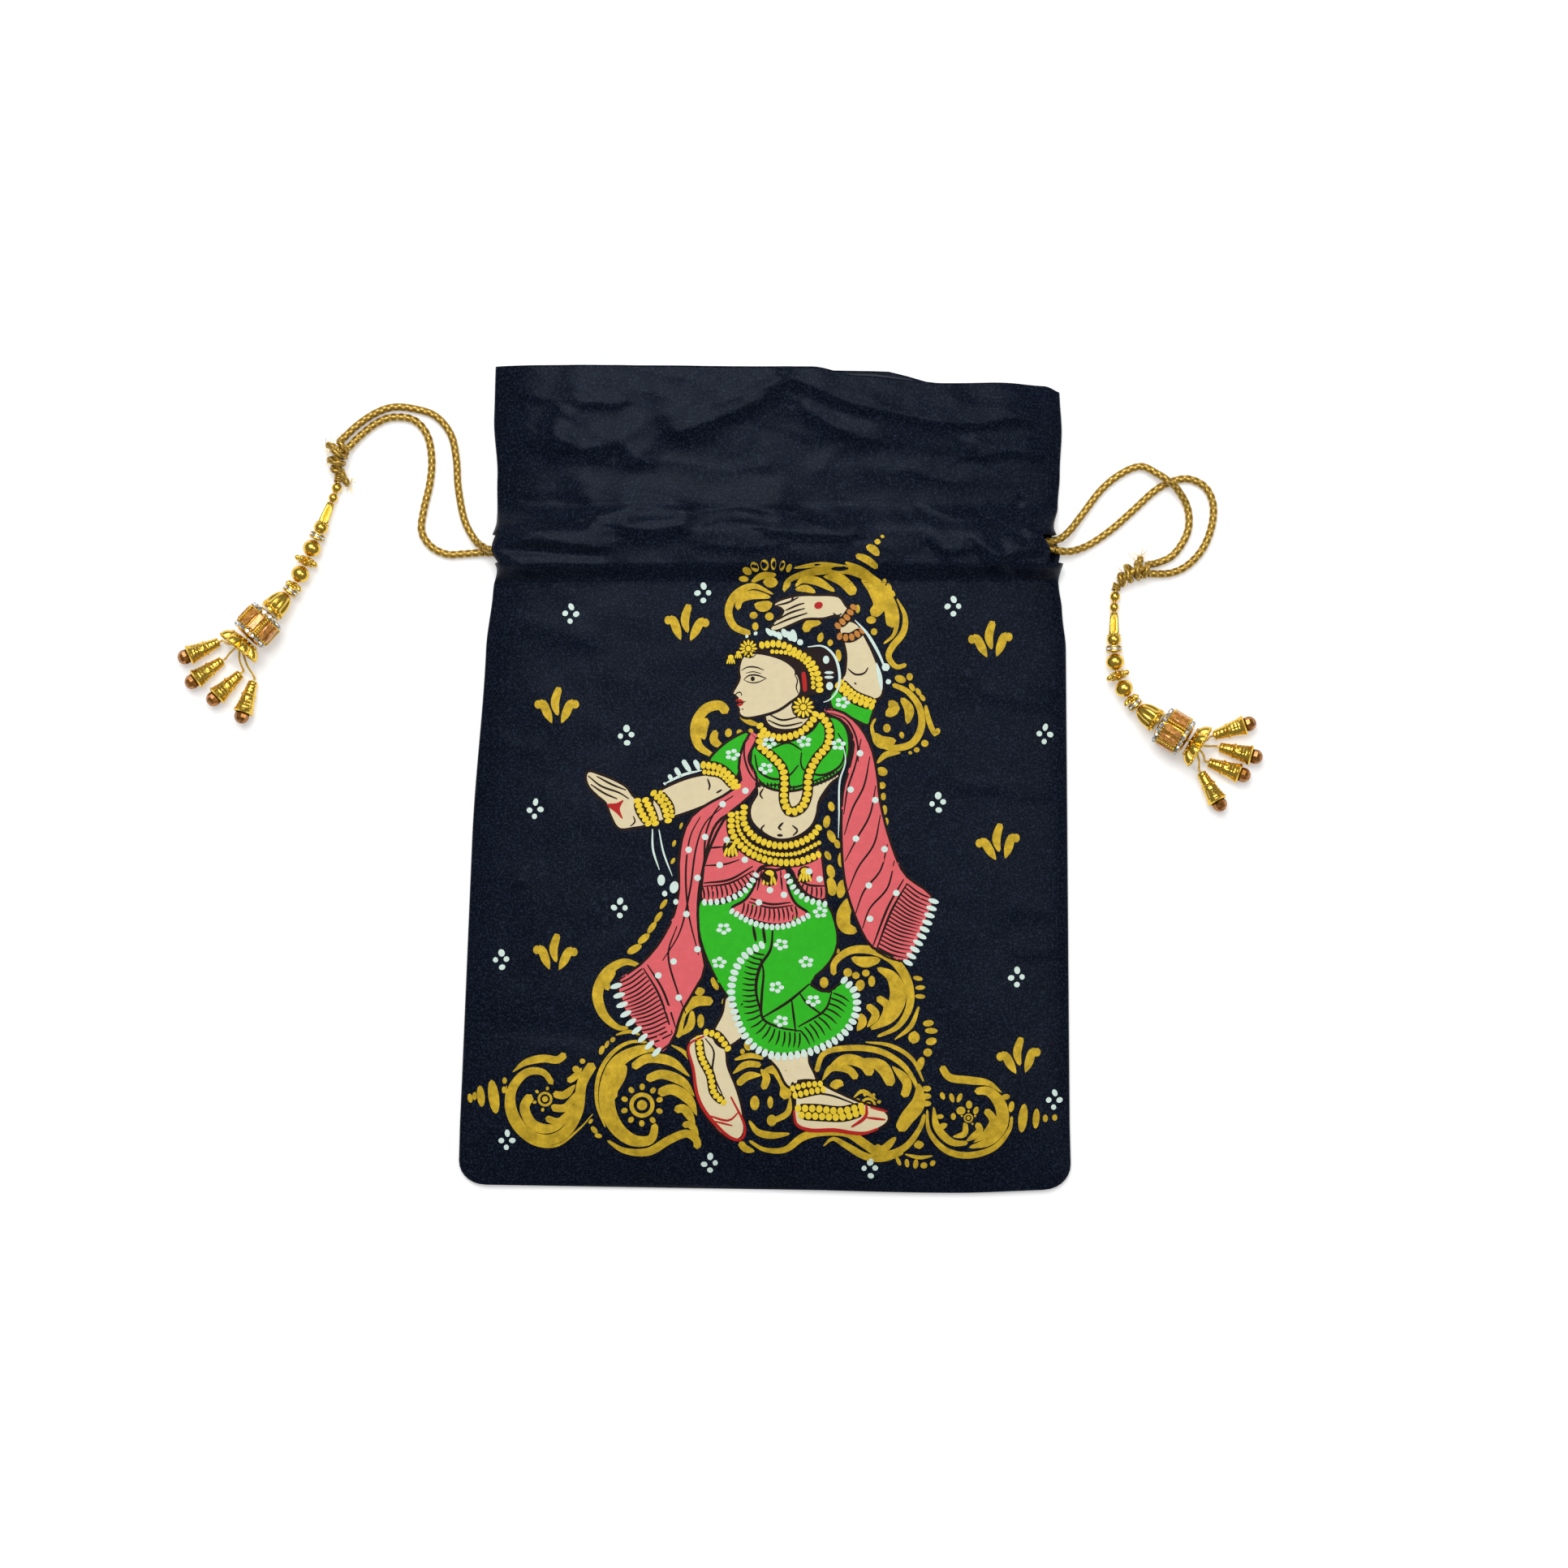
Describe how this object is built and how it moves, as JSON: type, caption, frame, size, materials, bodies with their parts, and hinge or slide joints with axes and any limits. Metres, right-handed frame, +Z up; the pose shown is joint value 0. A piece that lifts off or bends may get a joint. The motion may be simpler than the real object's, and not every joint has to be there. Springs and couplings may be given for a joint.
{
  "type": "potli bag",
  "caption": "Flat drawstring pouch of dark painted taffeta with a lining, looped metallic drawcords and beaded bell tassels at both sides.",
  "frame": {"origin": "middle of the bag's flat back, at the bottom centre of the bag's own box, without its cords and tassels", "axes": "+Y along the bag towards its mouth, +X across it, +Z up out of the painted front"},
  "size_m": [0.3734, 0.2846, 0.0167],
  "materials": {
    "taffeta": "navy-black taffeta with a soft satin sheen, painted by hand on the front",
    "lining": "matte dark lining cloth",
    "cord": "braided metallic gold cord",
    "thread": "thin gold thread",
    "gold": "polished yellow gold plating",
    "stones": "gold plating set with clear rhinestones",
    "crystal": "amber-brown crystal, stone-set at the ends"
  },
  "bodies": {
    "root": {"outer_shell": "taffeta", "lining": "lining", "drawcord_left": "cord", "drawcord_right": "cord", "left_knot": "cord", "left_tassel_thread": "thread", "left_small_bead": "gold", "left_small_bead_lower": "gold", "left_fluted_cone": "gold", "left_rondelle": "stones", "left_round_bead": "gold", "left_star_spacer": "gold", "left_round_bead_lower": "gold", "left_star_cap": "gold", "left_rondelle_lower": "stones", "left_dome_cap": "gold", "left_crystal_barrel": "crystal", "left_flower_cap": "gold", "left_drop_thread_1": "thread", "left_bell_1": "gold", "left_bell_bead_1": "crystal", "left_drop_thread_2": "thread", "left_bell_2": "gold", "left_bell_bead_2": "crystal", "left_drop_thread_3": "thread", "left_bell_3": "gold", "left_bell_bead_3": "crystal", "left_drop_thread_4": "thread", "left_bell_4": "gold", "left_bell_bead_4": "crystal", "right_knot": "cord", "right_tassel_thread": "thread", "right_small_bead": "gold", "right_small_bead_lower": "gold", "right_fluted_cone": "gold", "right_rondelle": "stones", "right_round_bead": "gold", "right_star_spacer": "gold", "right_round_bead_lower": "gold", "right_star_cap": "gold", "right_rondelle_lower": "stones", "right_dome_cap": "gold", "right_crystal_barrel": "crystal", "right_flower_cap": "gold", "right_drop_thread_1": "thread", "right_bell_1": "gold", "right_bell_bead_1": "crystal", "right_drop_thread_2": "thread", "right_bell_2": "gold", "right_bell_bead_2": "crystal", "right_drop_thread_3": "thread", "right_bell_3": "gold", "right_bell_bead_3": "crystal", "right_drop_thread_4": "thread", "right_bell_4": "gold", "right_bell_bead_4": "crystal"}
  },
  "joints": []
}
